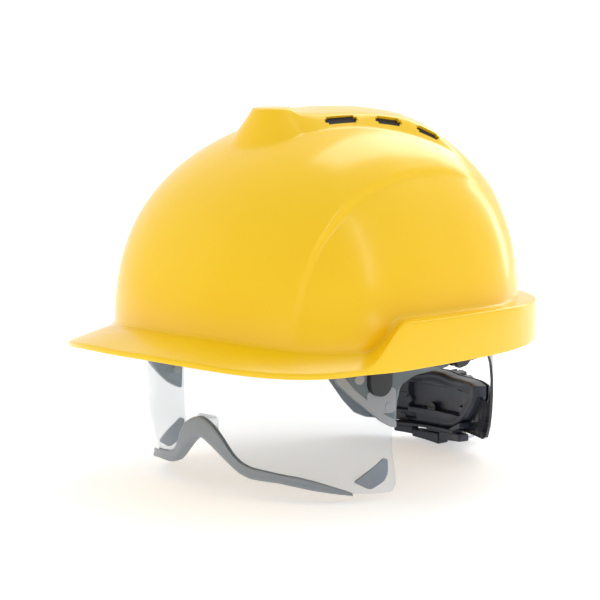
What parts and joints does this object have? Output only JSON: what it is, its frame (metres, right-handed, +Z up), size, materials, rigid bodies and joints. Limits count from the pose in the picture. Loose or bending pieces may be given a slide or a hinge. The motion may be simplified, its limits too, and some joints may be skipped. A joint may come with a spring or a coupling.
{
  "type": "hard hat",
  "caption": "Vented yellow hard hat with a short brim, rain gutter, swing-down clear eye shield and a ratchet headband turned by a knob at the nape.",
  "frame": {"origin": "on the surface the hat stands on, under the middle of its length and width", "axes": "+Z up, -Y the way the wearer faces, +X towards the wearer's left"},
  "size_m": [0.223, 0.276, 0.2086],
  "materials": {
    "shell": "gloss yellow moulded ABS",
    "screen": "matt black",
    "band": "satin charcoal polyethylene",
    "foam": "perforated foam with a fabric face",
    "webbing": "woven polyester webbing",
    "dark": "satin black nylon",
    "clear": "clear polycarbonate",
    "clear_soft": "clear soft plastic",
    "trim": "grey soft elastomer",
    "smoke": "smoke-grey translucent plastic",
    "nape": "satin dark blue-grey nylon",
    "steel": "plated steel"
  },
  "bodies": {
    "helmet": {"shell": "shell", "vent_screen": "screen", "headband": "band", "sweatband": "foam", "left_crown_strap": "webbing", "right_crown_strap": "webbing", "strap_patch": "webbing", "left_side_key": "band", "right_side_key": "band", "left_rear_key": "band", "right_rear_key": "band", "left_side_pin": "dark", "right_side_pin": "dark"},
    "visor": {"lens": "clear", "lens_trim": "trim", "nose_bridge": "clear_soft", "corner_pads": "trim", "arm_rivets": "steel", "left_lens_arm": "smoke", "right_lens_arm": "smoke", "left_lens_tab": "dark", "right_lens_tab": "dark"},
    "nape_pivot": {"left_bush": "dark", "right_bush": "dark"},
    "nape": {"nape_housing": "nape", "nape_cover": "nape", "housing_screws": "steel", "axle_screw": "steel", "click_ring": "steel"},
    "left_band": {"left_rack_arm": "nape"},
    "right_band": {"right_rack_arm": "nape"},
    "knob": {"ratchet_knob": "dark", "drive_pinion": "dark"}
  },
  "joints": [
    {"name": "visor_hinge", "type": "hinge", "parent": "helmet", "child": "visor", "pos_m": [0, 0.027, 0.076], "axis": [-1, 0, 0], "range_deg": [0, 30]},
    {"name": "nape_tilt", "type": "hinge", "parent": "helmet", "child": "nape_pivot", "pos_m": [0, 0.027, 0.076], "axis": [1, 0, 0], "range_deg": [-6, 3]},
    {"name": "band_size", "type": "slide", "parent": "nape_pivot", "child": "nape", "axis": [0, -1, 0], "range_m": [-0.012, 0.006]},
    {"name": "left_rack", "type": "hinge", "parent": "nape", "child": "left_band", "pos_m": [0, 0.027, 0.022], "axis": [0, 0, 1], "range_deg": [-8, 8]},
    {"name": "right_rack", "type": "hinge", "parent": "nape", "child": "right_band", "pos_m": [0, 0.027, 0.022], "axis": [0, 0, 1], "range_deg": [-8, 8]},
    {"name": "knob_turn", "type": "hinge", "parent": "nape", "child": "knob", "pos_m": [0, 0.12, 0.022], "axis": [0, 1, 0], "range_deg": [-118, 118]}
  ],
  "couplings": [
    {"joint": "left_rack", "follows": "band_size", "rad_per_m": 10.989},
    {"joint": "right_rack", "follows": "band_size", "rad_per_m": -10.989},
    {"joint": "knob_turn", "follows": "band_size", "rad_per_m": -166.67}
  ]
}
